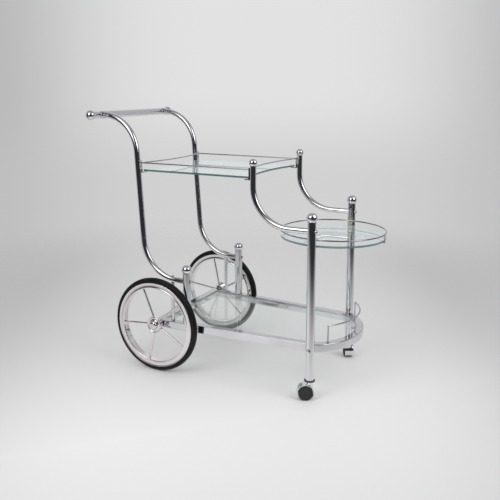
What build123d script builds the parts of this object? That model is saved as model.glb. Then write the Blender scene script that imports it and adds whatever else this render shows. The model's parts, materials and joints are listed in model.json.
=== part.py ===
"""Tiered bar cart: bent chrome tubes, three glass shelves, two spoked wheels and two hooded casters.

Millimetres. X runs forward from the push handle to the round shelf, Y to the left, Z up from the floor.
"""

import os
from math import cos, radians, sin, sqrt, tan

from build123d import *

# stock sizes
POST_R = 12.7
POST_WALL = 1.6
TUBE_R = 9.5
TUBE_WALL = 1.5
WIRE_R = 2.2
WELD = 0.4
GLASS_T = 6.0
GLASS_BEVEL = 0.6
PLATE_T = 2.1
TAB_T = 2.0
TAB_REACH = 13.0
PAD_R = 4.0
PAD_T = 1.0
PAD_EDGE = 1.0

# stations along X and across Y
FRONT_X = 301.0
REAR_X = -117.0
ELBOW_X = 115.0
STRUT_X = -169.0
AXLE_X = -213.0
POST_Y = 176.0

# push handle and the two long rear tubes
HANDLE_Z = 813.0
HANDLE_OUT = 45.0
SHANK_LEAN = 4.35
SHANK_X = -297.4
SHANK_Z = 662.0
TOP_BEND_R = 125.0
LOW_BEND_R = 126.0
LOW_RUN_Z = 295.5
SEAM_STRAIGHT = 10.0
SEAM_CHAMFER = 0.4
JOINER_UP = 12.0
JOINER_DOWN = 8.0
JOINER_WALL = 1.5
COLLAR_R = 12.0
COLLAR_LEN = 7.0

# front elbow tubes
ELBOW_RUN_Z = 498.5
ELBOW_BEND_R = 116.0
ELBOW_BALL_RISE = 21.0

# posts, struts and ball finials
BALL_R = 16.0
BALL_SEAT = 11.0
SMALL_BALL_R = 12.5
SMALL_BALL_SEAT = 8.8
SPIGOT_LEN = 9.0
REAR_BALL_RISE = 37.5
FRONT_BALL_RISE = 38.5
FRONT_POST_FOOT = 59.0
STRUT_R = 6.0

# fasteners
BOLT_R = 4.0
BOLT_HEAD_R = 5.6
BOLT_HEAD_H = 4.5
PLUG_LEN = 9.0
PLUG_GAP = 0.3
SCREW_R = 2.0
SCREW_HEAD_R = 4.2
SCREW_HEAD_H = 3.0
DOME_ROUNDING = 0.85
HEAD_SINK = 2.5
STRUT_SCREW_LEN = 34.0
FOOT_SCREW_GRIP = 12.0
FOOT_PLUG_LEN = 14.0
FRAME_BOLT_REACH = 34.0
SPACER_R = 8.0

# lower frame and its glass
FRAME_OVER_AXLE = 10.0
FRAME_W = 24.0
FRAME_WALL = 1.6
FRAME_EDGE_R = 2.0
FRAME_BEHIND_AXLE = 14.5
FRAME_POST_GAP = 0.3
FRONT_TIP = 94.6
FRONT_ARC_R = 200.0
FRONT_CORNER_R = 70.0
REAR_CORNER_R = 10.0
GLASS_DROP = 4.0
GLASS_GAP = 1.0
TAB_W = 18.0
SIDE_TABS_X = (-110.0, 80.0)
REAR_TAB_Y = 90.0
FRONT_TAB_ANGLE = 20.0

# front guard rail
GUARD_H = 50.0
GUARD_ANGLE = 41.5
FERRULE_R = 4.5
FERRULE_H = 3.5

# top shelf
TOP_GLASS_Z = 636.0
TOP_GLASS_IN = 5.0
TOP_GLASS_GAP = 3.0
TOP_SAG = 24.0
TOP_CORNER_R = 3.0
TOP_RAIL_RISE = 27.0
TOP_RAIL_IN = 2.0
BRACKET_W = 14.0
BRACKET_RISE = 6.0
BRACKET_SCREW_DROP = 11.0
TOP_TAB_IN = 17.0

# round shelf
ROUND_GLASS_Z = 450.0
ROUND_GLASS_GAP = 1.4
RING_RISE = 21.0
RING_WELD = 0.3
RING_PLATE_RISE = 8.0
RING_PLATE_DROP = 40.0
RING_SCREW_RISE = 8.0
CLIP_T = 1.6
CLIP_W = 9.0
CLIP_GAP = 0.3
CLIP_OVER = 1.5

# rear wheels
WHEEL_R = 151.0
WHEEL_OUT = 33.0
TYRE_W = 20.0
TYRE_H = 14.0
TYRE_SHOULDER = 6.0
TYRE_CROWN = 1.6
TYRE_DEPTH = 13.0
RIM_BED = 5.0
RIM_W = 24.0
RIM_ROUND = 1.0
FLANGE_T = 2.2
SPOKES = 5
SPOKE_R = 3.5
SPOKE_ROOT = 11.0
HUB_R = 18.0
HUB_FLANGE_R = 26.0
HUB_FLANGE_T = 4.0
HUB_ROUND = 1.2
HUB_IN = 12.0
HUB_OUT = 13.0
AXLE_R = 6.0
AXLE_SPACER_R = 9.0
RUN_CLEAR = 0.08
SIDE_GAP = 0.5
CAP_R = 14.0
CAP_H = 9.0
CAP_ROUND = 7.2
AXLE_IN_CAP = 5.0

# casters
CASTER_R = 21.5
CASTER_W = 29.0
CASTER_TRAIL = 12.0
CASTER_DISH = 2.6
CASTER_LIP = 2.0
TREAD_ROUND = 3.0
HOOD_GAP = 2.0
HOOD_WALL = 2.0
HOOD_CUT_Z = 9.0
HOOD_OVER = 3.0
HOOD_ROUND = 5.0
BOSS_R = 9.0
SWIVEL_GAP = 0.6
STEM_R = 4.0
STEM_LEN = 35.0
STEM_IN_BOSS = 9.0
STEM_TIP = 1.0
SOCKET_FLANGE_T = 3.0
SOCKET_FLANGE_R = 16.0
SOCKET_FLOOR_GAP = 1.5
SOCKET_ROOF_T = 5.5
PIN_R = 3.0
PIN_HEAD_R = 5.0
PIN_HEAD_T = 1.3
PIN_CLEAR = 0.06

# per side: direction in Y, how far round the spokes stand, which way the caster points
SIDES = {"right": (-1, 41.0, 27.0), "left": (1, 30.0, -63.0)}
SIGNS = (-1, 1)

# heights worked out from the ones above
AXLE_Z = WHEEL_R
FRAME_TOP = AXLE_Z + FRAME_OVER_AXLE
FRAME_BOTTOM = FRAME_TOP - FRAME_W
FRAME_MID = FRAME_TOP - FRAME_W / 2
TOP_RAIL_Z = TOP_GLASS_Z + TOP_RAIL_RISE
BRACKET_TOP = TOP_RAIL_Z + BRACKET_RISE
BRACKET_SCREW_Z = TOP_RAIL_Z - BRACKET_SCREW_DROP
ELBOW_BALL_Z = TOP_RAIL_Z + ELBOW_BALL_RISE
RING_Z = ROUND_GLASS_Z + RING_RISE
RING_PLATE_TOP = RING_Z + RING_PLATE_RISE
RING_PLATE_LOW = RING_Z - RING_PLATE_DROP
RING_SCREW_Z = RING_PLATE_LOW + RING_SCREW_RISE
REAR_BALL_Z = LOW_RUN_Z + REAR_BALL_RISE
FRONT_BALL_Z = ELBOW_RUN_Z + FRONT_BALL_RISE
REAR_TOP = REAR_BALL_Z - BALL_SEAT
FRONT_TOP = FRONT_BALL_Z - BALL_SEAT
SOCKET_FOOT = FRONT_POST_FOOT - SOCKET_FLANGE_T
BOSS_TOP = SOCKET_FOOT - SWIVEL_GAP
STEM_TOP = SOCKET_FOOT + STEM_LEN
SOCKET_ROOF = STEM_TOP + SOCKET_FLOOR_GAP

# widths and lengths worked out from the ones above
POST_BORE = POST_R - POST_WALL
TUBE_BORE = TUBE_R - TUBE_WALL
BOLT_REACH = POST_R + PLUG_GAP + PLUG_LEN
PLATE_FACE_Y = POST_Y - POST_R - PLATE_T
ROUND_GLASS_R = PLATE_FACE_Y - ROUND_GLASS_GAP
RING_R = PLATE_FACE_Y + RING_WELD - WIRE_R
CLIP_IN = ROUND_GLASS_R + CLIP_GAP
FRAME_REAR_X = AXLE_X - FRAME_BEHIND_AXLE
FRAME_FRONT_HALF = POST_Y - POST_R - FRAME_POST_GAP
FRONT_ARC_X = FRONT_X + FRONT_TIP - FRONT_ARC_R
SIDE_SLOPE = (POST_Y + FRAME_W / 2 - FRAME_FRONT_HALF) / (FRONT_X - REAR_X)
SIDE_TURN = sqrt(1 + SIDE_SLOPE**2)
TOP_HALF = POST_Y - TOP_GLASS_IN
TOP_RAIL_Y = POST_Y - TOP_RAIL_IN
HANDLE_X = BALL_R - FRONT_X - CLIP_IN - CLIP_T
HANDLE_BALL_Y = POST_Y + HANDLE_OUT
BAR_END = HANDLE_BALL_Y - BALL_SEAT
LEAN = tan(radians(SHANK_LEAN))
LOW_REACH = LOW_BEND_R * tan(radians(45 - SHANK_LEAN / 2))
SEAM_Z = LOW_RUN_Z + (LOW_REACH + SEAM_STRAIGHT) * cos(radians(SHANK_LEAN))
WHEEL_Y = POST_Y + WHEEL_OUT
RIM_OUT = WHEEL_R - TYRE_H
RIM_SEAT = RIM_OUT - TYRE_DEPTH
RIM_IN = RIM_SEAT - RIM_BED
HOOD_R = CASTER_R + HOOD_GAP + HOOD_WALL
HOOD_END = CASTER_W / 2 + HOOD_OVER
UP = Vector(0, 0, 1)
FORWARD = Vector(1, 0, 0)


# general shapes
def rod(radius, start, end):
    """Round bar between two points."""
    a, b = Vector(*start), Vector(*end)
    return extrude(Plane(origin=a, z_dir=b - a) * Circle(radius), amount=(b - a).length)


def tube(radius, wall, start, end):
    """Straight round tube between two points."""
    return rod(radius, start, end) - rod(radius - wall, start, end)


def block(xs, ys, zs):
    """Box from its limits along each axis, given in either order."""
    (x0, x1), (y0, y1), (z0, z1) = sorted(xs), sorted(ys), sorted(zs)
    return Pos((x0 + x1) / 2, (y0 + y1) / 2, (z0 + z1) / 2) * Box(x1 - x0, y1 - y0, z1 - z0)


def ball(radius, centre):
    return Pos(*centre) * Sphere(radius)


def bent(start, corner, end, radius):
    """Path from start to end with a tangent arc at the corner."""
    a, c, b = Vector(*start), Vector(*corner), Vector(*end)
    u, v = (a - c).normalized(), (b - c).normalized()
    half = radians(u.get_angle(v)) / 2
    reach = radius / tan(half)
    middle = c + (u + v).normalized() * (radius / sin(half) - radius)
    arc = ThreePointArc(c + u * reach, middle, c + v * reach)
    return Wire([Line(a, c + u * reach), arc, Line(c + v * reach, b)])


def swept(radius, path):
    """Round bar along a path."""
    return sweep(Plane(origin=path @ 0, z_dir=path % 0) * Circle(radius), path=path)


def swept_tube(path):
    return swept(TUBE_R, path) - swept(TUBE_BORE, path)


def turned(*points):
    """Solid of revolution about Z from a closed (radius, height) outline."""
    return revolve(make_face(Polyline(*[(r, 0, z) for r, z in points], close=True)), axis=Axis.Z)


def rims(shape):
    """Circular edges of a shape."""
    return shape.edges().filter_by(GeomType.CIRCLE)


def finial(radius, seat, spigot, centre, out):
    """Ball with a flat seat and a spigot that plugs the tube behind it."""
    c, out = Vector(*centre), Vector(*out)
    cut = rod(radius, c - out * seat, c - out * 2 * radius)
    return ball(radius, c) - cut + rod(spigot, c - out * (seat + SPIGOT_LEN), c)


def dome_head(radius, height, base, out, sink=0.0):
    """Domed head standing on base, with its foot sunk below it."""
    head = rod(radius, base - out * sink, base + out * height)
    top = rims(head).sort_by(lambda edge: (edge.center() - base).dot(out))[-1]
    return fillet(top, min(radius, height) * DOME_ROUNDING)


def cross_bolt(centre, out, reach, core):
    """Domed bolt across a post: coped head on the out side, shank running reach past the centre."""
    c, out = Vector(*centre), Vector(*out)
    head = dome_head(BOLT_HEAD_R, BOLT_HEAD_H, c + out * POST_R, out, HEAD_SINK) - core
    return head + rod(BOLT_R, c + out * (POST_R + HEAD_SINK / 2), c - out * reach)


def screw(base, out, length):
    """Domed screw with its head standing on base."""
    b, out = Vector(*base), Vector(*out)
    return dome_head(SCREW_HEAD_R, SCREW_HEAD_H, b, out) + rod(SCREW_R, b, b - out * length)


def pad(x, y, z):
    """Round pad with its underside at z."""
    return rod(PAD_R, (x, y, z), (x, y, z + PAD_T))


def sheet(face, z):
    """Glass sheet with its underside at z and a narrow bevel round both faces."""
    glass = extrude(Pos(0, 0, z) * face, amount=GLASS_T)
    levels = glass.edges().group_by(Axis.Z)
    return chamfer(levels[0] + levels[-1], GLASS_BEVEL)


# lower frame contour
def side_y(x, inset=0.0):
    """Half width of the lower frame's tapering side at X."""
    return POST_Y + FRAME_W / 2 - SIDE_SLOPE * (x - REAR_X) - inset * SIDE_TURN


def outline(inset):
    """Lower frame contour moved inward by inset."""
    reach = FRONT_ARC_R - inset
    x = FRONT_X
    for _ in range(40):
        x = FRONT_ARC_X + sqrt(reach**2 - side_y(x, inset) ** 2)
    y = side_y(x, inset)
    rear = FRAME_REAR_X + inset
    y_rear = side_y(rear, inset)
    face = make_face(
        [
            Line((rear, -y_rear), (x, -y)),
            ThreePointArc((x, -y), (FRONT_ARC_X + reach, 0), (x, y)),
            Line((x, y), (rear, y_rear)),
            Line((rear, y_rear), (rear, -y_rear)),
        ]
    )
    face = fillet(face.vertices().group_by(Axis.X)[-1], FRONT_CORNER_R - inset)
    if inset < REAR_CORNER_R:
        face = fillet(face.vertices().group_by(Axis.X)[0], REAR_CORNER_R - inset)
    return face


def slab(inset, z0, z1):
    return extrude(Pos(0, 0, z0) * outline(inset), amount=z1 - z0)


# rear tube line
def shank_x(z):
    """X of the leaning rear shank's axis at a height."""
    return SHANK_X + (SHANK_Z - z) * LEAN


parts = {}


def put(name, *pieces):
    parts[name] = [solid for piece in pieces for solid in piece.solids()]


# round stock that other pieces are coped to
bar_core = rod(POST_R, (HANDLE_X, -BAR_END, HANDLE_Z), (HANDLE_X, BAR_END, HANDLE_Z))
rear_cores = [rod(POST_R, (REAR_X, s * POST_Y, FRAME_TOP), (REAR_X, s * POST_Y, REAR_TOP)) for s in SIGNS]
front_cores = [
    rod(POST_R, (FRONT_X, s * POST_Y, FRONT_POST_FOOT), (FRONT_X, s * POST_Y, FRONT_TOP)) for s in SIGNS
]
upper_paths, lower_paths, elbow_paths = [], [], []
for s in SIGNS:
    y = s * POST_Y
    seam = (shank_x(SEAM_Z), y, SEAM_Z)
    top_corner = (shank_x(HANDLE_Z), y, HANDLE_Z)
    low_corner = (shank_x(LOW_RUN_Z), y, LOW_RUN_Z)
    elbow_top = (ELBOW_X, y, ELBOW_BALL_Z - SMALL_BALL_SEAT)
    upper_paths.append(bent((HANDLE_X, y, HANDLE_Z), top_corner, seam, TOP_BEND_R))
    lower_paths.append(bent(seam, low_corner, (REAR_X, y, LOW_RUN_Z), LOW_BEND_R))
    elbow_paths.append(bent(elbow_top, (ELBOW_X, y, ELBOW_RUN_Z), (FRONT_X, y, ELBOW_RUN_Z), ELBOW_BEND_R))
lower_cores = [swept(TUBE_R, path) for path in lower_paths]

# bolts through the handle and posts, and the plugs they screw into
bolt_places = [((HANDLE_X, s * POST_Y, HANDLE_Z), -FORWARD, bar_core) for s in SIGNS]
bolt_places += [((REAR_X, s * POST_Y, LOW_RUN_Z), FORWARD, core) for s, core in zip(SIGNS, rear_cores)]
bolt_places += [((FRONT_X, s * POST_Y, ELBOW_RUN_Z), FORWARD, core) for s, core in zip(SIGNS, front_cores)]
joint_bolts = [cross_bolt(centre, out, BOLT_REACH, core) for centre, out, core in bolt_places]
joint_plugs = []
for centre, out, _ in bolt_places:
    mouth = Vector(*centre) - out * (POST_R + PLUG_GAP)
    joint_plugs.append(tube(TUBE_BORE, TUBE_BORE - BOLT_R, mouth, mouth - out * PLUG_LEN))
frame_bolts = [
    cross_bolt((FRONT_X, s * POST_Y, FRAME_MID), (0, s, 0), FRAME_BOLT_REACH, core)
    for s, core in zip(SIGNS, front_cores)
]

# screws down through the rear tubes into the struts, and up through the frame into struts and posts
bend_end = shank_x(LOW_RUN_Z) + LOW_REACH
bend_rise = LOW_BEND_R - sqrt(LOW_BEND_R**2 - (bend_end - STRUT_X) ** 2)
strut_screw_z = LOW_RUN_Z + TUBE_R + bend_rise
strut_screws, foot_screws, foot_plugs = [], [], []
for s, core in zip(SIGNS, lower_cores):
    y = s * POST_Y
    top = Vector(STRUT_X, y, strut_screw_z)
    head = dome_head(SCREW_HEAD_R, SCREW_HEAD_H, top, UP, HEAD_SINK) - core
    strut_screws.append(head + rod(SCREW_R, top, top - UP * STRUT_SCREW_LEN))
    foot_screws += [screw((x, y, FRAME_BOTTOM), -UP, FRAME_W + FOOT_SCREW_GRIP) for x in (STRUT_X, REAR_X)]
    foot_plugs.append(rod(POST_BORE, (REAR_X, y, FRAME_TOP), (REAR_X, y, FRAME_TOP + FOOT_PLUG_LEN)))

# shelf brackets with their screws and pads
top_brackets, ring_brackets, bracket_screws, pads = [], [], [], []
half_plate = BRACKET_W / 2
top_tab_z = TOP_GLASS_Z - PAD_T
round_tab_z = ROUND_GLASS_Z - PAD_T


def top_bracket(s, facing, axis_x, lean):
    """Saddle plate on an upright tube with a tab that reaches under the glass corner."""
    place = Pos(axis_x, s * POST_Y, BRACKET_SCREW_Z) * Rot(0, -lean, 0)
    core = place * Cylinder(TUBE_R, 4 * (BRACKET_TOP - TOP_GLASS_Z))
    low, high = top_tab_z - TAB_T - BRACKET_SCREW_Z, BRACKET_TOP - BRACKET_SCREW_Z
    face = facing * (TUBE_R + PLATE_T)
    plate = place * block((facing * TUBE_R / 2, face), (-half_plate, half_plate), (low, high))
    root = axis_x - tan(radians(lean)) * low
    tab = block(
        (root + facing * TUBE_R / 2, root + face + facing * TAB_REACH),
        (s * (POST_Y + half_plate), s * (POST_Y - TOP_TAB_IN)),
        (top_tab_z - TAB_T, top_tab_z),
    )
    fastener = place * screw((face, 0, 0), (facing, 0, 0), TUBE_R + PLATE_T)
    pad_x = root + face + facing * (TAB_REACH - PAD_R - PAD_EDGE)
    pads.append(pad(pad_x, s * (POST_Y - TOP_TAB_IN + PAD_R + PAD_EDGE), top_tab_z))
    bracket_screws.append(fastener)
    top_brackets.append(plate + tab - core - fastener)


def ring_bracket(s, core):
    """Plate on the inner side of a front post with a tab under the round glass."""
    xs = (FRONT_X - half_plate, FRONT_X + half_plate)
    plate = block(xs, (s * PLATE_FACE_Y, s * (POST_Y - POST_R / 2)), (RING_PLATE_LOW, RING_PLATE_TOP))
    tab = block(xs, (s * PLATE_FACE_Y, s * (PLATE_FACE_Y - TAB_REACH)), (round_tab_z - TAB_T, round_tab_z))
    fastener = screw((FRONT_X, s * PLATE_FACE_Y, RING_SCREW_Z), (0, -s, 0), POST_R)
    pads.append(pad(FRONT_X, s * (PLATE_FACE_Y - TAB_REACH + PAD_R + PAD_EDGE), round_tab_z))
    bracket_screws.append(fastener)
    ring_brackets.append(plate + tab - core - fastener)


for s, core in zip(SIGNS, front_cores):
    top_bracket(s, 1, shank_x(BRACKET_SCREW_Z), SHANK_LEAN)
    top_bracket(s, -1, ELBOW_X, 0.0)
    ring_bracket(s, core)

# push handle
bar = tube(POST_R, POST_WALL, (HANDLE_X, -BAR_END, HANDLE_Z), (HANDLE_X, BAR_END, HANDLE_Z))
put("handle_bar", bar - joint_bolts)
put(
    "handle_balls",
    *[finial(BALL_R, BALL_SEAT, POST_BORE, (HANDLE_X, s * HANDLE_BALL_Y, HANDLE_Z), (0, s, 0)) for s in SIGNS],
)
collars = []
for s in SIGNS:
    start = Vector(HANDLE_X, s * POST_Y, HANDLE_Z)
    collars.append(tube(COLLAR_R, COLLAR_R - TUBE_R, start, start + FORWARD * (POST_R + COLLAR_LEN)) - bar_core)
put("handle_collars", *collars)


# tubes, posts and struts on each side
def seam_ring(shape, y):
    """Narrow bevel round a tube's end at the seam."""
    seam = Vector(shank_x(SEAM_Z), y, SEAM_Z)
    ends = [edge for edge in rims(shape) if (edge.arc_center - seam).length < SEAM_CHAMFER]
    return chamfer(max(ends, key=lambda edge: edge.radius), SEAM_CHAMFER)


joiners, post_finials, tube_finials = [], [], []
for i, (side, (s, _, _)) in enumerate(SIDES.items()):
    y = s * POST_Y
    upper = seam_ring(swept_tube(upper_paths[i]) - bar_core, y)
    lower = seam_ring(swept_tube(lower_paths[i]) - rear_cores[i], y)
    put(f"{side}_rear_tube", upper - bracket_screws)
    put(f"{side}_rear_elbow", lower - strut_screws[i])
    put(f"{side}_front_tube", swept_tube(elbow_paths[i]) - front_cores[i] - bracket_screws)
    shank = Vector(-LEAN, 0, 1).normalized()
    seam = Vector(shank_x(SEAM_Z), y, SEAM_Z)
    joiners.append(tube(TUBE_BORE, JOINER_WALL, seam - shank * JOINER_DOWN, seam + shank * JOINER_UP))

    rear_post = tube(POST_R, POST_WALL, (REAR_X, y, FRAME_TOP), (REAR_X, y, REAR_TOP))
    front_post = tube(POST_R, POST_WALL, (FRONT_X, y, FRONT_POST_FOOT), (FRONT_X, y, FRONT_TOP))
    put(f"{side}_rear_post", rear_post - joint_bolts)
    put(f"{side}_front_post", front_post - joint_bolts - frame_bolts - bracket_screws)
    strut = rod(STRUT_R, (STRUT_X, y, FRAME_TOP), (STRUT_X, y, LOW_RUN_Z)) - lower_cores[i]
    put(f"{side}_strut", strut - strut_screws - foot_screws)
    for x, z in ((REAR_X, REAR_BALL_Z), (FRONT_X, FRONT_BALL_Z)):
        post_finials.append(finial(BALL_R, BALL_SEAT, POST_BORE, (x, y, z), UP))
    tube_finials.append(finial(SMALL_BALL_R, SMALL_BALL_SEAT, TUBE_BORE, (ELBOW_X, y, ELBOW_BALL_Z), UP))
put("tube_joiners", *joiners)
put("post_finials", *post_finials)
put("tube_finials", *tube_finials)
put("joint_bolts", *joint_bolts)
put("joint_plugs", *joint_plugs)
put("strut_screws", *strut_screws)
put("foot_screws", *foot_screws)
put("foot_plugs", *[plug - foot_screws for plug in foot_plugs])

# lower frame of square tube, drilled for the fasteners and the axle
frame_body = slab(0, FRAME_BOTTOM, FRAME_TOP)
frame_loop = frame_body - slab(FRAME_W, FRAME_BOTTOM, FRAME_TOP)
cavity = slab(FRAME_WALL, FRAME_BOTTOM + FRAME_WALL, FRAME_TOP - FRAME_WALL)
cavity -= slab(FRAME_W - FRAME_WALL, FRAME_BOTTOM, FRAME_TOP)
levels = frame_loop.edges().group_by(Axis.Z)
frame = fillet(levels[0] + levels[-1], FRAME_EDGE_R) - cavity
hub_face = WHEEL_Y + HUB_OUT + SIDE_GAP
axle_end = hub_face + AXLE_IN_CAP
axle = rod(AXLE_R, (AXLE_X, -axle_end, AXLE_Z), (AXLE_X, axle_end, AXLE_Z))
put("lower_frame", frame - foot_screws - frame_bolts - axle)
put("frame_bolts", *frame_bolts)
spacers = []
for i, s in enumerate(SIGNS):
    spacer = rod(SPACER_R, (FRONT_X, s * POST_Y, FRAME_MID), (FRONT_X, s * (POST_Y - FRAME_W), FRAME_MID))
    spacers.append(spacer - front_cores[i] - frame_body - frame_bolts)
put("frame_spacers", *spacers)

# lower glass on tabs welded inside the frame
glass_z = FRAME_TOP - GLASS_DROP - GLASS_T
tab_z = glass_z - PAD_T
arc_in = FRONT_ARC_R - FRAME_W
stations = [(x, s * side_y(x, FRAME_W), 90 * s) for x in SIDE_TABS_X for s in SIGNS]
stations += [(FRAME_REAR_X + FRAME_W, s * REAR_TAB_Y, 180) for s in SIGNS]
for s in SIGNS:
    angle = radians(s * FRONT_TAB_ANGLE)
    stations.append((FRONT_ARC_X + arc_in * cos(angle), arc_in * sin(angle), s * FRONT_TAB_ANGLE))
tabs = []
for x, y, heading in stations:
    place = Pos(x, y, 0) * Rot(0, 0, heading)
    tab = block((-TAB_REACH, FRAME_W / 4), (-TAB_W / 2, TAB_W / 2), (tab_z - TAB_T, tab_z))
    tabs.append(place * tab - frame_loop)
    pads.append(place * pad(PAD_R + PAD_EDGE - TAB_REACH, 0, tab_z))
put("glass_tabs", *tabs)
put("lower_glass", sheet(outline(FRAME_W + GLASS_GAP), glass_z))

# front guard rail on two ferrules
guard_r = FRONT_ARC_R - FRAME_W / 2
guard_z = FRAME_TOP + GUARD_H
guard_x = FRONT_ARC_X + guard_r * cos(radians(GUARD_ANGLE))
guard_y = guard_r * sin(radians(GUARD_ANGLE))
crown = ThreePointArc(
    (guard_x, -guard_y, guard_z), (FRONT_ARC_X + guard_r, 0, guard_z), (guard_x, guard_y, guard_z)
)
guard = swept(WIRE_R, Wire([crown]))
ferrules = []
for s in SIGNS:
    foot = Vector(guard_x, s * guard_y, FRAME_TOP)
    guard += [ball(WIRE_R, foot + UP * GUARD_H), rod(WIRE_R, foot, foot + UP * GUARD_H)]
    ferrules.append(tube(FERRULE_R, FERRULE_R - WIRE_R, foot, foot + UP * FERRULE_H))
put("guard_rail", guard)
put("guard_ferrules", *ferrules)

# top shelf glass and gallery rail with hollowed ends
plate_face = (TUBE_R + PLATE_T) / cos(radians(SHANK_LEAN))
glass_rear = shank_x(TOP_GLASS_Z) + plate_face + TOP_GLASS_GAP
glass_front = ELBOW_X - TUBE_R - PLATE_T - TOP_GLASS_GAP
top_face = make_face(
    [
        Line((glass_rear, -TOP_HALF), (glass_front, -TOP_HALF)),
        ThreePointArc((glass_front, -TOP_HALF), (glass_front - TOP_SAG, 0), (glass_front, TOP_HALF)),
        Line((glass_front, TOP_HALF), (glass_rear, TOP_HALF)),
        ThreePointArc((glass_rear, TOP_HALF), (glass_rear + TOP_SAG, 0), (glass_rear, -TOP_HALF)),
    ]
)
put("top_glass", sheet(fillet(top_face.vertices(), TOP_CORNER_R), TOP_GLASS_Z))
rail_rear = shank_x(TOP_RAIL_Z) + plate_face + WIRE_R - WELD
rail_front = ELBOW_X - TUBE_R - PLATE_T - WIRE_R + WELD
runs, ends = [], []
for s in SIGNS:
    y = s * TOP_RAIL_Y
    runs.append(rod(WIRE_R, (rail_rear, y, TOP_RAIL_Z), (rail_front, y, TOP_RAIL_Z)))
    ends += [ball(WIRE_R, (x, y, TOP_RAIL_Z)) for x in (rail_rear, rail_front)]
for x, sag in ((rail_rear, TOP_SAG), (rail_front, -TOP_SAG)):
    bow = ThreePointArc(
        (x, -TOP_RAIL_Y, TOP_RAIL_Z), (x + sag, 0, TOP_RAIL_Z), (x, TOP_RAIL_Y, TOP_RAIL_Z)
    )
    ends.append(swept(WIRE_R, Wire([bow])))
put("top_rail", runs[0] + runs[1:] + ends - top_brackets)
put("top_brackets", *top_brackets)
put("bracket_screws", *bracket_screws)

# round shelf
ring = Pos(FRONT_X, 0, RING_Z) * Torus(RING_R, WIRE_R)
put("round_ring", ring)
put("round_glass", sheet(Pos(FRONT_X, 0) * Circle(ROUND_GLASS_R), ROUND_GLASS_Z))
put("ring_brackets", *[bracket - ring for bracket in ring_brackets])
clips = []
for s in SIGNS:
    ys = (-CLIP_W / 2, CLIP_W / 2)
    inner = FRONT_X + s * CLIP_IN
    strip = block((inner, inner + s * CLIP_T), ys, (round_tab_z - TAB_T, RING_Z + CLIP_OVER))
    foot = block((inner, inner - s * TAB_REACH), ys, (round_tab_z - TAB_T, round_tab_z))
    clips.append(strip + foot - ring)
    pads.append(pad(inner - s * (TAB_REACH - PAD_R - PAD_EDGE), 0, round_tab_z))
put("ring_clips", *clips)
put("shelf_pads", *pads)

# rear axle with a spacer inside and a cap outside each wheel
put("axle", axle)
axle_spacers, axle_caps = [], []
for s in SIGNS:
    inner = s * (WHEEL_Y - HUB_IN - SIDE_GAP)
    sleeve = rod(AXLE_SPACER_R, (AXLE_X, s * POST_Y, AXLE_Z), (AXLE_X, inner, AXLE_Z))
    axle_spacers.append(sleeve - frame_body - axle)
    cap = rod(CAP_R, (AXLE_X, s * hub_face, AXLE_Z), (AXLE_X, s * (hub_face + CAP_H), AXLE_Z))
    crown = rims(cap).sort_by(lambda edge: abs(edge.center().Y))[-1]
    axle_caps.append(fillet(crown, CAP_ROUND) - axle)
put("axle_spacers", *axle_spacers)
put("axle_caps", *axle_caps)

# rear wheels, turned about Z and then laid on the axle
half_tyre, half_rim = TYRE_W / 2, RIM_W / 2
seat = half_rim - FLANGE_T
shoulder = [(RIM_SEAT, seat), (RIM_OUT, seat), (RIM_OUT + half_rim - half_tyre, half_tyre)]
shoulder += [(WHEEL_R - TYRE_SHOULDER, half_tyre), (WHEEL_R - TYRE_CROWN, half_tyre * 2 / 3)]
shoulder.append((WHEEL_R, half_tyre / 3))
tyre = turned(*shoulder, *[(r, -z) for r, z in reversed(shoulder)])
channel = [(RIM_IN, half_rim), (RIM_OUT, half_rim), (RIM_OUT, seat), (RIM_SEAT, seat)]
rim = turned(*channel, *[(r, -z) for r, z in reversed(channel)])
rim = fillet([edge for edge in rims(rim) if abs(edge.center().Z) > seat + RIM_ROUND], RIM_ROUND)
bore = AXLE_R + RUN_CLEAR
hub = turned(
    (bore, -HUB_IN), (HUB_R, -HUB_IN), (HUB_R, HUB_OUT - HUB_FLANGE_T),
    (HUB_FLANGE_R, HUB_OUT - HUB_FLANGE_T), (HUB_FLANGE_R, HUB_OUT), (bore, HUB_OUT),
)
hub = fillet([edge for edge in rims(hub) if edge.radius > HUB_R + HUB_ROUND], HUB_ROUND)
inside_rim = Cylinder(RIM_IN, RIM_W)
for side, (s, phase, _) in SIDES.items():
    stand = Pos(AXLE_X, s * WHEEL_Y, AXLE_Z) * Rot(-90 * s, 0, 0)
    centre = Vector(AXLE_X, s * WHEEL_Y, AXLE_Z)
    spokes = []
    for i in range(SPOKES):
        angle = radians(phase + 360 / SPOKES * i)
        out = Vector(cos(angle), 0, sin(angle))
        spokes.append(rod(SPOKE_R, centre + out * SPOKE_ROOT, centre + out * RIM_SEAT) & stand * inside_rim)
    put(f"{side}_tyre", stand * tyre)
    put(f"{side}_rim", stand * rim)
    put(f"{side}_hub", stand * hub - spokes)
    put(f"{side}_spokes", *spokes)

# casters, built about the swivel axis with the wheel trailing to -X and its open face to -Y
half = CASTER_W / 2
bore = PIN_R + PIN_CLEAR
tread = turned(
    (bore, CASTER_DISH - half), (CASTER_R - 2 * CASTER_LIP, CASTER_DISH - half),
    (CASTER_R - 2 * CASTER_LIP, -half), (CASTER_R - CASTER_LIP, -half), (CASTER_R, CASTER_LIP - half),
    (CASTER_R, half - TREAD_ROUND), (CASTER_R - TREAD_ROUND, half), (bore, half),
)
caster_wheel = Pos(-CASTER_TRAIL, 0, CASTER_R) * Rot(-90, 0, 0) * tread


def across(radius, y0, y1):
    """Round bar along the caster wheel's axle between two distances."""
    return rod(radius, (-CASTER_TRAIL, y0, CASTER_R), (-CASTER_TRAIL, y1, CASTER_R))


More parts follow.
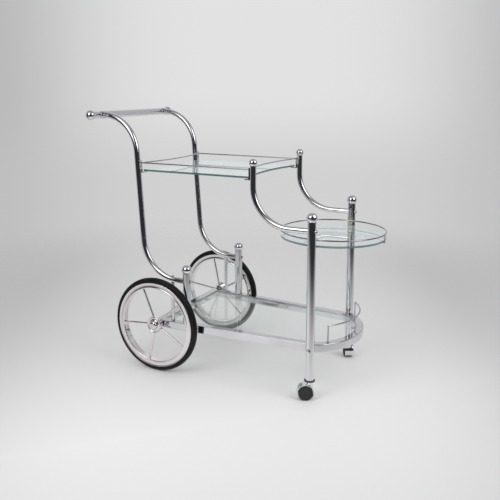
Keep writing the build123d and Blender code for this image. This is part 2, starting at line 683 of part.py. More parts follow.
shell = across(HOOD_R, CASTER_LIP - half, HOOD_END)
shell = fillet(rims(shell).sort_by(Axis.Y)[-1], HOOD_ROUND)
hollow = across(HOOD_R - HOOD_WALL, -2 * HOOD_END, HOOD_END - HOOD_WALL)
below = block((-4 * HOOD_R, 4 * HOOD_R), (-4 * HOOD_R, 4 * HOOD_R), (-HOOD_R, HOOD_CUT_Z))
pin_face = CASTER_DISH - half - PIN_HEAD_T - SIDE_GAP
pin = across(PIN_R, pin_face, HOOD_END) + across(PIN_HEAD_R, pin_face, pin_face + PIN_HEAD_T)
stem = rod(STEM_R, (0, 0, BOSS_TOP - STEM_IN_BOSS), (0, 0, STEM_TOP))
stem = chamfer(rims(stem).sort_by(Axis.Z)[-1], STEM_TIP)
boss = rod(BOSS_R, (0, 0, CASTER_R), (0, 0, BOSS_TOP))
hood = shell + boss - hollow - below - pin - stem
socket_bore = STEM_R + RUN_CLEAR
socket_top = SOCKET_ROOF + SOCKET_ROOF_T
socket = turned(
    (socket_bore, SOCKET_FOOT), (SOCKET_FLANGE_R, SOCKET_FOOT), (SOCKET_FLANGE_R, FRONT_POST_FOOT),
    (POST_BORE, FRONT_POST_FOOT), (POST_BORE, socket_top), (0, socket_top),
    (0, SOCKET_ROOF), (socket_bore, SOCKET_ROOF),
)
caster = {"socket": socket, "hood": hood, "stem": stem, "pin": pin, "wheel": caster_wheel}
for side, (s, _, heading) in SIDES.items():
    stand = Pos(FRONT_X, s * POST_Y, 0) * Rot(0, 0, heading)
    for name, shape in caster.items():
        put(f"{side}_caster_{name}", stand * shape)

os.makedirs("parts", exist_ok=True)
for name, solids in parts.items():
    export_step(solids[0] if len(solids) == 1 else Compound(children=solids), f"parts/{name}.step")
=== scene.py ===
import json
from math import cos, radians, sin

import bpy
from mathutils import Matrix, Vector


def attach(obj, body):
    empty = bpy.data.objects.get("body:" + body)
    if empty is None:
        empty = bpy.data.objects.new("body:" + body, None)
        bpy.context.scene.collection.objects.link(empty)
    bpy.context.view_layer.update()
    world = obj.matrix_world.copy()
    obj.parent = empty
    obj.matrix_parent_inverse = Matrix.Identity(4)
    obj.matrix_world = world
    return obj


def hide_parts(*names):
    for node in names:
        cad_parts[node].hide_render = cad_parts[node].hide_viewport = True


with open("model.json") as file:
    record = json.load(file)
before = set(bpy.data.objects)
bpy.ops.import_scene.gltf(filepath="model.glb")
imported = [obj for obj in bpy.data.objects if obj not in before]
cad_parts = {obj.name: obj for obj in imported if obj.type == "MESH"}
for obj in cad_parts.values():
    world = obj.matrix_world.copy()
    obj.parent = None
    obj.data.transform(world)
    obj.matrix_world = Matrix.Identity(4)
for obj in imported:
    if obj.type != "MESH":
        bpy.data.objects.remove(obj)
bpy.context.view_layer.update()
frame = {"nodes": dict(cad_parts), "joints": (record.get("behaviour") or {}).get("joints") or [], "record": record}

nodes = frame["nodes"]
joints = {joint["name"]: joint for joint in frame["joints"]}
SIDES = ("right", "left")
QUARTER = 90.0

# camera as the photograph has it
CAMERA_AT = (0.9918, -1.9381, 0.9062)
CAMERA_YAW = 28.04
CAMERA_PITCH = 7.76
LENS_MM = 48.9
SENSOR_MM = 36.0
SHIFT_X = 0.0311
SHIFT_Y = -0.1431
SIGHT_END = 60.0

# level ways: from the camera to the backdrop, across the view, and from the floor's front edge inward
BACK = Vector((-sin(radians(CAMERA_YAW)), cos(radians(CAMERA_YAW)), 0.0))
ACROSS = Vector((cos(radians(CAMERA_YAW)), sin(radians(CAMERA_YAW)), 0.0))
FLOOR_TURN = 18.0
FLOOR_WAY = BACK * cos(radians(FLOOR_TURN)) - ACROSS * sin(radians(FLOOR_TURN))

# floor paper: it fades out all round and toward the front; it is painted paler nearby as a pool of light and
# painted darker at both sides as shade
FLOOR_RADIUS = 9.0
FLOOR_SEGMENTS = 96
FLOOR_FADE = (0.9, 2.6)
FLOOR_FRONT = (-2.1, -0.4)
FLOOR_LIT_NEAR_SPAN = (-0.6, 0.3)
FLOOR_SHADED_SIDE_SPAN = (0.02, 0.95)
FLOOR_TONE = (0.75, 0.75, 0.755)
FLOOR_PAINTED_LIGHT_TONE = (0.83, 0.83, 0.832)
FLOOR_PAINTED_SHADE_TONE = (0.57, 0.57, 0.575)

# backdrop: brighter above the horizon and in its middle
BACKDROP_MIDDLE = 0.04
BACKDROP_SIDE = (0.0, 0.14)
BACKDROP_RISE = (-0.14, 0.0)
BACKDROP_REACH = (-0.25, 0.45)
BACKDROP_TOP = (0.6, 0.92)
BACKDROP_LOW = (0.64, 0.64, 0.645)
BACKDROP_HIGH = (0.76, 0.76, 0.765)
BACKDROP_EDGE_LOW = (0.52, 0.52, 0.525)
BACKDROP_EDGE = (0.49, 0.49, 0.495)

# the rest of the room: dark walls and a dim ceiling in reflections, an even fill for matt surfaces
ROOM_TONE = (0.03, 0.03, 0.033)
CEILING_TONE = (0.34, 0.34, 0.345)
CEILING_RISE = (0.5, 0.95)
FILL_TONE = (0.70, 0.70, 0.70)

# two tall soft panels, one to each side of the camera
LAMP_DISTANCE = 2.0
LAMP_HEIGHT = 1.75
LAMP_FRONT_TURN = 54.0
LAMP_SIDE_TURN = -40.0
LAMP_AIM = 0.4
LAMP_WIDTH = 1.9
LAMP_TALL = 2.3
LAMP_WATTS = 21.0
LAMP_MIDDLE = (0.5, 0.5, 0.0)
LAMP_SPREAD = (0.1, 0.55)
LAMP_PEAK = 2.0
LAMP_RIM = 0.12


class Value:
    """A shader socket that takes part in Python arithmetic."""

    def __init__(self, finish, socket):
        self.finish = finish
        self.socket = socket

    def _math(self, operation, first, second):
        return self.finish.node("Math", {"operation": operation}, {0: first, 1: second})

    def __add__(self, other):
        return self._math("ADD", self, other)

    def __radd__(self, other):
        return self._math("ADD", other, self)

    def __sub__(self, other):
        return self._math("SUBTRACT", self, other)

    def __rsub__(self, other):
        return self._math("SUBTRACT", other, self)

    def __mul__(self, other):
        return self._math("MULTIPLY", self, other)

    def __rmul__(self, other):
        return self._math("MULTIPLY", other, self)

    def __pow__(self, other):
        return self._math("POWER", self, other)


class Finish:
    """A node tree, written as expressions. Colours are given as red, green and blue."""

    def __init__(self, tree):
        self.tree = tree
        tree.nodes.clear()

    def feed(self, socket, value):
        if isinstance(value, Value):
            self.tree.links.new(value.socket, socket)
        elif socket.type == "RGBA":
            socket.default_value = (*value, 1.0)
        else:
            socket.default_value = value

    def node(self, kind, settings=None, sockets=None, out=0):
        made = self.tree.nodes.new("ShaderNode" + kind)
        for key, value in (settings or {}).items():
            setattr(made, key, value)
        for key, value in (sockets or {}).items():
            self.feed(made.inputs[key], value)
        return Value(self, made.outputs[out]) if made.outputs else None

    def blend(self, factor, first, second):
        """Colour between two colours."""
        sockets = {"Factor": factor, 6: first, 7: second}
        return self.node("Mix", {"data_type": "RGBA"}, sockets, out=2)

    def between(self, value, low, high, kind="SMOOTHSTEP"):
        """Value taken smoothly, or by another kind of slope, from 0 at low to 1 at high."""
        sockets = {"Value": value, "From Min": low, "From Max": high}
        return self.node("MapRange", {"interpolation_type": kind}, sockets)

    def noise(self, scale, detail, stretch=(1.0, 1.0, 1.0)):
        """Soft noise on the object's own coordinates, between 0 and 1."""
        place = self.node("Mapping", {}, {"Vector": self.place(), "Scale": stretch})
        return self.node("TexNoise", {}, {"Vector": place, "Scale": scale, "Detail": detail}, out="Fac")

    def bump(self, height, strength, distance):
        return self.node("Bump", {}, {"Height": height, "Strength": strength, "Distance": distance})

    def place(self):
        return self.node("TexCoord", out="Object")

    def normal(self):
        return self.node("TexCoord", out="Normal")

    def axis(self, vector, letter):
        return self.node("SeparateXYZ", {}, {"Vector": vector}, out=letter)

    def along(self, vector, way):
        return self.node("VectorMath", {"operation": "DOT_PRODUCT"}, {0: vector, 1: way}, out="Value")

    def length(self, vector):
        return self.node("VectorMath", {"operation": "LENGTH"}, {0: vector}, out="Value")


def material(name):
    made = bpy.data.materials.new(name)
    made.use_nodes = True
    return made, Finish(made.node_tree)


def surface(finish, **sockets):
    """Principled surface; socket names are given with underscores."""
    named = {key.replace("_", " "): value for key, value in sockets.items()}
    shader = finish.node("BsdfPrincipled", {}, named)
    finish.node("OutputMaterial", {}, {"Surface": shader})


# finishes
def polished_chrome(name, tone, rough, smear, wavy=0.05, tops_dust_and_shade=0.0):
    """Bright plate with faint smears, fine pits, a barely wavy surface, and a grey on its tops that is partly
    settled dust and partly painted shade.
    """
    dulled = tuple(0.93 * c for c in tone)
    dust_and_shade_grey = (0.34, 0.34, 0.345)
    pit_brown = (0.22, 0.17, 0.14)
    made, f = material(name)
    cloud = f.noise(38.0, detail=4.0)
    haze = f.between(f.noise(9.0, detail=3.0), 0.42, 0.72)
    wave = f.noise(55.0, detail=1.0)
    specks = f.between(f.noise(1100.0, detail=2.0), 0.66, 0.74)
    pits = specks * f.between(f.noise(17.0, detail=2.0), 0.5, 0.66)
    upward = f.between(f.axis(f.normal(), "Z"), 0.3, 0.9)
    # upward faces greyed and roughened: partly dust, partly painted shade that dims the frame's top face and the
    # highlight on its edge
    dust = upward * (tops_dust_and_shade * (0.8 + 0.4 * cloud))
    bright = f.blend(dust, f.blend(haze, tone, dulled), dust_and_shade_grey)
    surface(
        f,
        Base_Color=f.blend(pits, bright, pit_brown),
        Metallic=1.0,
        Roughness=rough + smear * haze * cloud + 0.25 * pits + 0.1 * dust,
        Normal=f.bump(wave, strength=wavy, distance=0.0004),
    )
    return made


def domed_bolt(name, axis, cleaner_front=0.0):
    """Plated dome, tarnished brown round the foot of its head, which stands along the axis."""
    plate = (0.84, 0.82, 0.80)
    brown = (0.13, 0.075, 0.05)
    made, f = material(name)
    lean = f.axis(f.normal(), axis)
    foot = 1 - f.between(lean * lean, 0.25, 0.85)
    front = f.between(f.axis(f.place(), "X"), 0.1, 0.25)
    tarnish = foot * f.between(f.noise(420.0, detail=3.0), 0.2, 0.55)
    tarnish = tarnish * (1 - cleaner_front * front)
    surface(
        f,
        Base_Color=f.blend(tarnish, plate, brown),
        Metallic=1.0,
        Roughness=0.07 + 0.3 * tarnish,
    )
    return made


def screw_steel():
    """Plain bright steel, stained brown in places."""
    clean = (0.74, 0.70, 0.66)
    stained = (0.46, 0.37, 0.31)
    made, f = material("screw_steel")
    stain = f.between(f.noise(160.0, detail=4.0), 0.4, 0.7)
    surface(
        f,
        Base_Color=f.blend(stain, clean, stained),
        Metallic=1.0,
        Roughness=0.16 + 0.22 * stain,
    )
    return made


def warm_plate():
    """Thin plated sheet with a yellowish cast and rolled grain."""
    pale = (0.62, 0.60, 0.55)
    yellow = (0.58, 0.52, 0.38)
    made, f = material("warm_plate")
    grain = f.noise(420.0, detail=3.0, stretch=(1.0, 1.0, 0.06))
    cast = f.between(f.noise(60.0, detail=3.0), 0.35, 0.7)
    surface(
        f,
        Base_Color=f.blend(cast, pale, yellow),
        Metallic=1.0,
        Roughness=0.14 + 0.16 * grain,
        Normal=f.bump(grain, strength=0.1, distance=0.0002),
    )
    return made


def shelf_glass(name, clear, light_cut, deep_cut, ground, polish):
    """Clear float glass: its faces mirror by grazing angle under a trace of haze, less of it the higher
    the polish; its cut edges are green, with a ground arris, and are painted pale as painted light where seen
    through the glass."""
    painted_light_through = (0.60, 0.71, 0.68)
    made, f = material(name)
    tilt = f.axis(f.normal(), "Z")
    face = f.between(tilt * tilt, 0.6, 0.9)
    arris = f.between(tilt * tilt, 0.02, 0.2)
    facing = f.node("LayerWeight", {}, {"Blend": 0.5}, out="Facing")
    mirror = 0.045 + 0.955 * facing**5.0
    dust = f.between(f.noise(26.0, detail=4.0), 0.5, 0.8)
    streak = f.noise(18.0, detail=2.0, stretch=(1.0, 1.0, 6.0))
    inside = f.between(f.node("LightPath", out="Transparent Depth"), 0.0, 1.0)
    cut = f.blend(arris, f.blend(streak, deep_cut, light_cut), ground)
    # painted light: edges seen through the glass are painted pale
    edge = f.blend(inside, cut, painted_light_through)
    surface(
        f,
        Base_Color=f.blend(face, edge, clear),
        Metallic=polish * face,
        Roughness=0.012 + 0.06 * dust * face + 0.1 * (1 - face),
        Alpha=face * (mirror + 0.015 + 0.03 * dust) + (1 - face) * (0.86 - 0.4 * inside),
    )
    return made


def tyre_rubber():
    """Smooth black rubber with dull scuffs."""
    black = (0.004, 0.004, 0.0045)
    scuffed = (0.012, 0.0115, 0.011)
    made, f = material("tyre_rubber")
    skin = f.noise(900.0, detail=3.0)
    scuff = f.between(f.noise(42.0, detail=5.0), 0.5, 0.78)
    surface(
        f,
        Base_Color=f.blend(scuff, black, scuffed),
        Roughness=0.38 + 0.22 * scuff,
        Specular_IOR_Level=0.24,
        Normal=f.bump(skin, strength=0.12, distance=0.0002),
    )
    return made


def caster_black():
    """Black moulding with a fine grain, greyer where it is worn."""
    black = (0.016, 0.016, 0.017)
    worn = (0.04, 0.039, 0.038)
    made, f = material("caster_black")
    grain = f.noise(1400.0, detail=2.0)
    wear = f.between(f.noise(90.0, detail=4.0), 0.5, 0.75)
    surface(
        f,
        Base_Color=f.blend(wear, black, worn),
        Roughness=0.4 + 0.2 * wear,
        Normal=f.bump(grain, strength=0.15, distance=0.0002),
    )
    return made


def soft_pad():
    """Clouded clear pad under the glass."""
    dim = (0.70, 0.74, 0.72)
    pale = (0.80, 0.83, 0.81)
    made, f = material("soft_pad")
    cloud = f.noise(220.0, detail=2.0)
    surface(
        f,
        Base_Color=f.blend(cloud, dim, pale),
        Roughness=0.35 + 0.1 * cloud,
        Alpha=0.55,
    )
    return made


# one finish for each material slot
FINISHES = {
    "chrome": polished_chrome("polished_chrome", (0.80, 0.80, 0.815), rough=0.03, smear=0.07),
    "steel": screw_steel(),
    "plated": warm_plate(),
    "glass": shelf_glass(
        "shelf_glass",
        clear=(0.76, 0.85, 0.84),
        light_cut=(0.12, 0.24, 0.225),
        deep_cut=(0.06, 0.13, 0.122),
        ground=(0.020, 0.048, 0.045),
        polish=0.72,
    ),
    "tyre": tyre_rubber(),
    "black_plastic": caster_black(),
    "pad_plastic": soft_pad(),
}

# nodes that depart from the finish of their slot
deep_glass = shelf_glass(
    "deep_glass",
    clear=(0.86, 0.95, 0.94),
    light_cut=(0.006, 0.115, 0.10),
    deep_cut=(0.002, 0.06, 0.052),
    ground=(0.002, 0.03, 0.027),
    polish=0.72,
)
inset_glass = shelf_glass(
    "inset_glass",
    clear=(0.70, 0.78, 0.755),
    light_cut=(0.40, 0.54, 0.52),
    deep_cut=(0.30, 0.44, 0.42),
    ground=(0.34, 0.46, 0.44),
    polish=0.65,
)
wire_chrome = polished_chrome("wire_chrome", (0.58, 0.58, 0.595), rough=0.05, smear=0.08)
ring_chrome = polished_chrome("ring_chrome", (0.42, 0.42, 0.43), rough=0.05, smear=0.08)
# the frame's tops take the grey of dust and painted shade
frame_chrome = polished_chrome("frame_chrome", (0.74, 0.74, 0.755), rough=0.04, smear=0.07, tops_dust_and_shade=0.4)
bracket_chrome = polished_chrome("bracket_chrome", (0.70, 0.69, 0.70), rough=0.09, smear=0.16, wavy=0.2)
# the right wheel's pinkish tone is a painted reflection; the left wheel's tone is near neutral
WHEEL_TONES_PAINTED_TINT = {"right": (0.86, 0.82, 0.838), "left": (0.84, 0.842, 0.832)}
OWN_FINISHES = {
    "top_glass": deep_glass,
    "lower_glass": inset_glass,
    "top_rail": wire_chrome,
    "guard_rail": wire_chrome,
    "round_ring": ring_chrome,
    "lower_frame": frame_chrome,
    "top_brackets": bracket_chrome,
    "joint_bolts": domed_bolt("post_bolt", "X", cleaner_front=0.7),
    "frame_bolts": domed_bolt("frame_bolt", "Y"),
}
for side in SIDES:
    plate = polished_chrome(f"{side}_wheel_chrome", WHEEL_TONES_PAINTED_TINT[side], rough=0.045, smear=0.1, wavy=0.12)
    for part in ("rim", "spokes", "hub"):
        OWN_FINISHES[f"{side}_{part}"] = plate
    OWN_FINISHES[f"{side}_caster_pin"] = FINISHES["black_plastic"]


def dress(piece, finish):
    piece.data.materials.clear()
    piece.data.materials.append(finish)


def finish_of(node, slot):
    return OWN_FINISHES.get(node, FINISHES[slot])


for row in frame["record"]["subparts"]:
    dress(nodes[row["node"]], finish_of(row["node"], row["material_slot"]))


# turned pieces of the wheels and casters, sizes in millimetres about each piece's own axle
MM = 0.001
WHEEL_SEGMENTS = 160
CASTER_SEGMENTS = 72
SMOOTH_ANGLE = 38.0


def arc(centre, radius, start, end, steps):
    """Points along an arc of a turned outline, angles in degrees from the radial direction."""
    angles = [radians(start + (end - start) * i / steps) for i in range(steps + 1)]
    return [(centre[0] + radius * cos(a), centre[1] + radius * sin(a)) for a in angles]


def both_faces(half):
    """Closed outline from the half of it on the outer side, inner edge first."""
    return half + [(r, -z) for r, z in reversed(half)]


def turned(name, outline, segments):
    """Ring about Z, drawn loop by loop along a closed outline of radius and height."""
    bpy.ops.object.select_all(action="DESELECT")
    radius, height = outline[0]
    bpy.ops.mesh.primitive_circle_add(
        vertices=segments,
        radius=radius * MM,
        location=(0.0, 0.0, height * MM),
    )
    piece = bpy.context.object
    piece.name = piece.data.name = name
    bpy.ops.object.transform_apply(location=True, rotation=True, scale=True)
    bpy.ops.object.mode_set(mode="EDIT")
    bpy.ops.mesh.select_mode(type="EDGE")
    bpy.ops.mesh.select_all(action="SELECT")
    for (r0, z0), (r1, z1) in zip(outline, outline[1:]):
        bpy.ops.mesh.extrude_edges_move(TRANSFORM_OT_translate={"value": (0.0, 0.0, (z1 - z0) * MM)})
        grow = r1 / r0
        bpy.ops.transform.resize(value=(grow, grow, 1.0), center_override=(0.0, 0.0, 0.0))
    bpy.ops.mesh.select_all(action="DESELECT")
    bpy.ops.mesh.select_non_manifold()
    bpy.ops.mesh.bridge_edge_loops()
    bpy.ops.mesh.select_all(action="SELECT")
    bpy.ops.mesh.normals_make_consistent(inside=False)
    bpy.ops.object.mode_set(mode="OBJECT")
    bpy.ops.object.shade_smooth_by_angle(angle=radians(SMOOTH_ANGLE))
    return piece


def pick(piece):
    """Leave just this piece selected, ready for an operator."""
    bpy.ops.object.select_all(action="DESELECT")
    piece.select_set(True)
    bpy.context.view_layer.objects.active = piece


def copied(piece, name):
    """Second piece of the same shape, with a mesh of its own."""
    pick(piece)
    bpy.ops.object.duplicate()
    twin = bpy.context.object
    twin.name = twin.data.name = name
    return twin


def laid(piece, turn, place):
    """Piece turned and moved to its place, which is then set into its mesh."""
    pick(piece)
    piece.rotation_euler = turn
    piece.location = place
    bpy.ops.object.transform_apply(location=True, rotation=True, scale=True)


def fitted(piece, body, slot, node):
    """Piece dressed, set on its body and put in the place of a node."""
    dress(piece, finish_of(node, slot))
    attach(piece, body)
    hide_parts(node)


# moulded tyre: bead groove against the rim, a fine rib on the wall, two grooves round the tread
TYRE = both_faces(
    [(130.6, 6.3), (136.3, 9.6), (137.2, 9.2), (138.2, 9.75), (139.6, 10.0), (142.9, 10.0)]
    + [(143.2, 10.3), (144.0, 10.3), (144.3, 10.0)]
    + arc((144.4, 4.1), 5.9, 82.0, 14.0, 5)
    + [(150.45, 4.3), (150.6, 3.6), (149.9, 3.35), (149.9, 2.75), (150.8, 2.5), (150.98, 0.6)]
)
# rim: rolled lip under the tyre, a broad slightly dished face, a bead round its inner edge
RIM = both_faces(
    [(130.5, 6.4), (136.2, 9.7)]
    + arc((135.7, 10.8), 1.2, -50.0, 130.0, 7)
    + [(134.2, 11.25), (132.0, 11.0), (129.5, 10.85), (127.0, 10.85), (125.0, 11.0), (124.2, 11.2)]
    + [(123.8, 11.6), (123.2, 11.95)]
    + arc((121.6, 9.4), 2.6, 80.0, 176.0, 6)
    + [(119.0, 7.0)]
)
# hub: barrel with a flange whose face is hollowed between two beads
HUB = [(6.2, -12.0), (17.4, -12.0), (18.0, -11.4), (18.0, 8.6), (18.4, 9.0), (25.0, 9.0)]
HUB += arc((24.2, 11.2), 1.8, -40.0, 130.0, 6) + [(22.0, 11.5), (19.4, 11.2), (17.6, 11.6)]
HUB += [(16.4, 12.7), (15.4, 13.0), (6.2, 13.0)]
# caster wheel: hollow face inside a lip, rounded tread, fine ring round the pin
CASTER = [(3.1, -11.9), (6.4, -11.9), (6.8, -12.3), (7.8, -12.3), (8.2, -11.9), (16.9, -11.9)]
CASTER += [(17.3, -12.3), (17.5, -14.1), (18.0, -14.5), (19.3, -14.5), (20.6, -14.0), (21.3, -13.0)]
CASTER += [(21.45, -11.6), (21.45, 11.2)] + arc((18.5, 11.5), 2.95, 0.0, 90.0, 5) + [(3.1, 14.45)]
WHEEL_PARTS = (("tyre", TYRE, "tyre"), ("rim", RIM, "chrome"), ("hub", HUB, "chrome"))
# turn about X that points the outer face of a wheel to its own side
OUTWARD = {"right": QUARTER, "left": -QUARTER}


def wheels():
    for part, outline, slot in WHEEL_PARTS:
        right = turned(f"right_turned_{part}", outline, WHEEL_SEGMENTS)
        left = copied(right, f"left_turned_{part}")
        for side, piece in zip(SIDES, (right, left)):
            laid(piece, (radians(OUTWARD[side]), 0.0, 0.0), joints[f"{side}_wheel_spin"]["pos_m"])
            fitted(piece, f"{side}_wheel", slot, f"{side}_{part}")


def caster_wheels():
    right = turned("right_caster_tread", CASTER, CASTER_SEGMENTS)
    left = copied(right, "left_caster_tread")
    for side, piece in zip(SIDES, (right, left)):
        roll = joints[f"{side}_caster_roll"]
        laid(piece, Vector(roll["axis"]).to_track_quat("Z", "Y").to_euler(), roll["pos_m"])
        fitted(piece, f"{side}_caster_roller", "black_plastic", f"{side}_caster_wheel")


# screws, sizes in millimetres: a domed head with a cross recess, on a stub of its shank
HEAD_R = 4.2
HEAD_H = 3.0
HEAD_SEGMENTS = 40
HEAD_ROUND = 2.5
HEAD_ROUND_STEPS = 6
SHANK_R = 2.0
SHANK_STUB = 2.5
RECESS_LONG = 5.2
RECESS_WIDE = 1.1
RECESS_DEEP = 1.7
RECESS_TAPER = 0.62
RECESS_TURNS = (45.0, 135.0)
LEVEL_FACE = 0.9

# where the heads sit and the way they point: brackets of the top and round shelf, struts, feet
POST_Y = 176.0
REAR_BRACKET = {"x": -285.07, "z": 652.88}
FRONT_BRACKET = {"x": 103.4, "z": 652.0}
RING_BRACKET = (301.0, 161.2, 439.0)
STRUT_TOP = {"x": -169.0, "z": 306.05}
STRUT_SADDLE = 1.2
FEET_X = (-169.0, -117.0)
FEET_Z = 137.0
OFF_REAR_TUBE = (0.9971, 0.0, 0.0759)
REARWARD = (-1.0, 0.0, 0.0)
UP = (0.0, 0.0, 1.0)
DOWN = (0.0, 0.0, -1.0)


def on_both_sides(x, z, out):
    return [((x, y, z), out) for y in (-POST_Y, POST_Y)]


def ring_screw(side):
    """Screw that points inward from the post on this side, -1 for right and 1 for left."""
    x, y, z = RING_BRACKET
    return (x, side * y, z), (0.0, -side, 0.0)


BRACKET_SCREWS = [
    *on_both_sides(**REAR_BRACKET, out=OFF_REAR_TUBE),
    *on_both_sides(**FRONT_BRACKET, out=REARWARD),
    ring_screw(-1.0),
    ring_screw(1.0),
]
STRUT_SCREWS = on_both_sides(**STRUT_TOP, out=UP)
FOOT_SCREWS = [screw for x in FEET_X for screw in on_both_sides(x, FEET_Z, DOWN)]


def faces_up(normal):
    return normal.z > LEVEL_FACE


def faces_down(normal):
    return normal.z < -LEVEL_FACE


def pick_faces(piece, wanted):
    """Edit mode with just the wanted faces selected."""
    bpy.ops.object.mode_set(mode="EDIT")
    bpy.ops.mesh.select_mode(type="FACE")
    bpy.ops.mesh.select_all(action="DESELECT")
    bpy.ops.object.mode_set(mode="OBJECT")
    for face in piece.data.polygons:
        face.select = wanted(face.normal)
    bpy.ops.object.mode_set(mode="EDIT")


def cut_recess(piece, turn):
    """One tapered arm of the cross, cut into the top of the head."""
    bpy.ops.object.select_all(action="DESELECT")
    bpy.ops.mesh.primitive_cube_add(
        size=1.0,
        location=(0.0, 0.0, HEAD_H * MM),
        rotation=(0.0, 0.0, radians(turn)),
    )
    cutter = bpy.context.object
    cutter.scale = (RECESS_LONG * MM, RECESS_WIDE * MM, 2.0 * RECESS_DEEP * MM)
    bpy.ops.object.transform_apply(location=True, rotation=True, scale=True)
    pick_faces(cutter, faces_down)
    low = (0.0, 0.0, (HEAD_H - RECESS_DEEP) * MM)
    bpy.ops.transform.resize(value=(RECESS_TAPER, RECESS_TAPER, 1.0), center_override=low)
    bpy.ops.object.mode_set(mode="OBJECT")
    bpy.context.view_layer.objects.active = piece
    cut = piece.modifiers.new("recess", "BOOLEAN")
    cut.operation = "DIFFERENCE"
    cut.object = cutter
    bpy.ops.object.modifier_apply(modifier=cut.name)
    bpy.data.objects.remove(cutter)


def cross_screw(name, skirt):
    """Domed screw on the plane Z = 0, the wall of its head reaching skirt below that."""
    bpy.ops.object.select_all(action="DESELECT")
    bpy.ops.mesh.primitive_cylinder_add(
        vertices=HEAD_SEGMENTS,
        radius=HEAD_R * MM,
        depth=(HEAD_H + skirt) * MM,
        location=(0.0, 0.0, 0.5 * (HEAD_H - skirt) * MM),
    )
    piece = bpy.context.object
    piece.name = piece.data.name = name
    bpy.ops.object.transform_apply(location=True, rotation=True, scale=True)
    pick_faces(piece, faces_up)
    bpy.ops.mesh.bevel(offset=HEAD_ROUND * MM, segments=HEAD_ROUND_STEPS, affect="EDGES")
    pick_faces(piece, faces_down)
    bpy.ops.mesh.inset(thickness=(HEAD_R - SHANK_R) * MM)
    bpy.ops.mesh.extrude_region_move(TRANSFORM_OT_translate={"value": (0.0, 0.0, -SHANK_STUB * MM)})
    bpy.ops.object.mode_set(mode="OBJECT")
    for turn in RECESS_TURNS:
        cut_recess(piece, turn)
    pick(piece)
    bpy.ops.object.shade_smooth_by_angle(angle=radians(SMOOTH_ANGLE))
    return piece


def screws(name, node, places, skirt=0.0):
    """Row of like screws, joined into the one piece that stands for their node."""
    first = cross_screw(name, skirt)
    row = [first] + [copied(first, f"{name}_{i}") for i in range(1, len(places))]
    for piece, (place, out) in zip(row, places):
        laid(piece, Vector(out).to_track_quat("Z", "Y").to_euler(), Vector(place) * MM)
    for piece in row:
        piece.select_set(True)
    bpy.context.view_layer.objects.active = first
    bpy.ops.object.join()
    fitted(first, "cart", "steel", node)


wheels()
caster_wheels()
screws("bracket_cross_screws", "bracket_screws", BRACKET_SCREWS)
screws("strut_cross_screws", "strut_screws", STRUT_SCREWS, STRUT_SADDLE)
screws("foot_cross_screws", "foot_screws", FOOT_SCREWS)


# studio floor, lamps, world and camera
def studio_floor():
    bpy.ops.object.select_all(action="DESELECT")
    bpy.ops.mesh.primitive_circle_add(vertices=FLOOR_SEGMENTS, radius=FLOOR_RADIUS, fill_type="NGON")
    floor = bpy.context.object
    floor.name = "studio_floor"
    made, f = material("floor_paper")
    place = f.place()
    ahead = f.along(place, FLOOR_WAY)
    aside = f.along(place, ACROSS)
    kept = (1 - f.between(f.length(place), *FLOOR_FADE)) * f.between(ahead, *FLOOR_FRONT, "LINEAR") ** 2.0
    # painted light on the camera's side of the floor and painted shade at both sides, laid over the paper's own
    # tone
    tone = f.blend(f.between(f.along(place, BACK), *FLOOR_LIT_NEAR_SPAN), FLOOR_PAINTED_LIGHT_TONE, FLOOR_TONE)
    tone = f.blend(f.between(aside * aside, *FLOOR_SHADED_SIDE_SPAN), tone, FLOOR_PAINTED_SHADE_TONE)
    surface(
        f,
        Base_Color=tone,
        Roughness=0.55 + 0.1 * f.noise(3.0, detail=2.0),
        Specular_IOR_Level=0.25,
        Alpha=kept,
    )
    dress(floor, made)


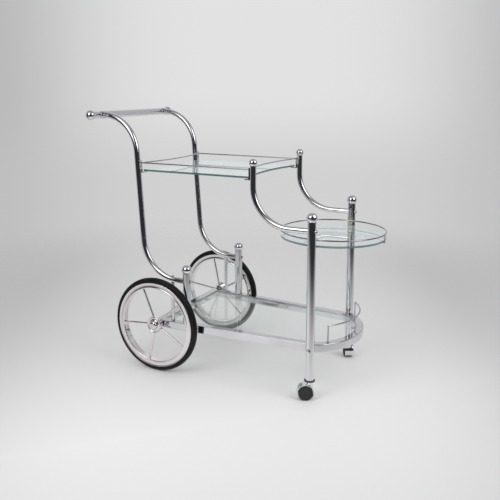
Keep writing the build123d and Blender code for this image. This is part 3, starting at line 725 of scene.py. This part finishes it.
def studio_world():
    """Pale backdrop for what the eye meets; a dark room with a bright far side in reflections."""
    world = bpy.data.worlds.new("studio")
    bpy.context.scene.world = world
    world.use_nodes = True
    f = Finish(world.node_tree)
    seen = f.node("LightPath", out="Is Camera Ray")
    mirrored = f.node("LightPath", out="Is Glossy Ray")
    way = f.node("TexCoord", out="Generated")
    rise = f.axis(way, "Z")
    raised = f.between(rise, *BACKDROP_RISE)
    aside = f.along(way, ACROSS) - BACKDROP_MIDDLE
    sideways = f.between(aside * aside, *BACKDROP_SIDE)
    middle = f.blend(raised, BACKDROP_LOW, BACKDROP_HIGH)
    backdrop = f.blend(sideways, middle, f.blend(raised, BACKDROP_EDGE_LOW, BACKDROP_EDGE))
    far = f.between(f.along(way, BACK), *BACKDROP_REACH) * (1 - f.between(rise, *BACKDROP_TOP))
    room = f.blend(f.between(rise, *CEILING_RISE), ROOM_TONE, CEILING_TONE)
    room = f.blend(far, room, f.blend(sideways, middle, BACKDROP_EDGE))
    colour = f.blend(seen, f.blend(mirrored, FILL_TONE, room), backdrop)
    glow = f.node("Background", {}, {"Color": colour, "Strength": 1.0})
    f.node("OutputWorld", {}, {"Surface": glow})


def lamp(name, turn):
    """Tall soft panel that is brightest in its middle, turned about the cart from the camera's side."""
    light = bpy.data.lights.new(name, "AREA")
    light.shape = "RECTANGLE"
    light.size = LAMP_WIDTH
    light.size_y = LAMP_TALL
    light.energy = LAMP_WATTS
    light.use_nodes = True
    f = Finish(light.node_tree)
    spot = f.node("NewGeometry", out="Parametric")
    off_middle = f.node("VectorMath", {"operation": "SUBTRACT"}, {0: spot, 1: LAMP_MIDDLE}, out="Vector")
    strength = LAMP_PEAK * (1 - f.between(f.length(off_middle), *LAMP_SPREAD)) + LAMP_RIM
    glow = f.node("Emission", {}, {"Strength": strength})
    f.node("OutputLight", {}, {"Surface": glow})
    holder = bpy.data.objects.new(name, light)
    angle = radians(CAMERA_YAW - QUARTER + turn)
    place = Vector((LAMP_DISTANCE * cos(angle), LAMP_DISTANCE * sin(angle), LAMP_HEIGHT))
    holder.location = place
    holder.rotation_euler = (Vector((0.0, 0.0, LAMP_AIM)) - place).to_track_quat("-Z", "Y").to_euler()
    bpy.context.scene.collection.objects.link(holder)


def studio_camera():
    data = bpy.data.cameras.new("photo_camera")
    data.sensor_width = SENSOR_MM
    data.lens = LENS_MM
    data.shift_x = SHIFT_X
    data.shift_y = SHIFT_Y
    data.clip_end = SIGHT_END
    camera = bpy.data.objects.new("photo_camera", data)
    camera.location = CAMERA_AT
    camera.rotation_euler = (radians(QUARTER - CAMERA_PITCH), 0.0, radians(CAMERA_YAW))
    bpy.context.scene.collection.objects.link(camera)
    bpy.context.scene.camera = camera


studio_floor()
studio_world()
lamp("lamp_front", LAMP_FRONT_TURN)
lamp("lamp_side", LAMP_SIDE_TURN)
studio_camera()
bpy.context.scene.view_settings.view_transform = "Standard"
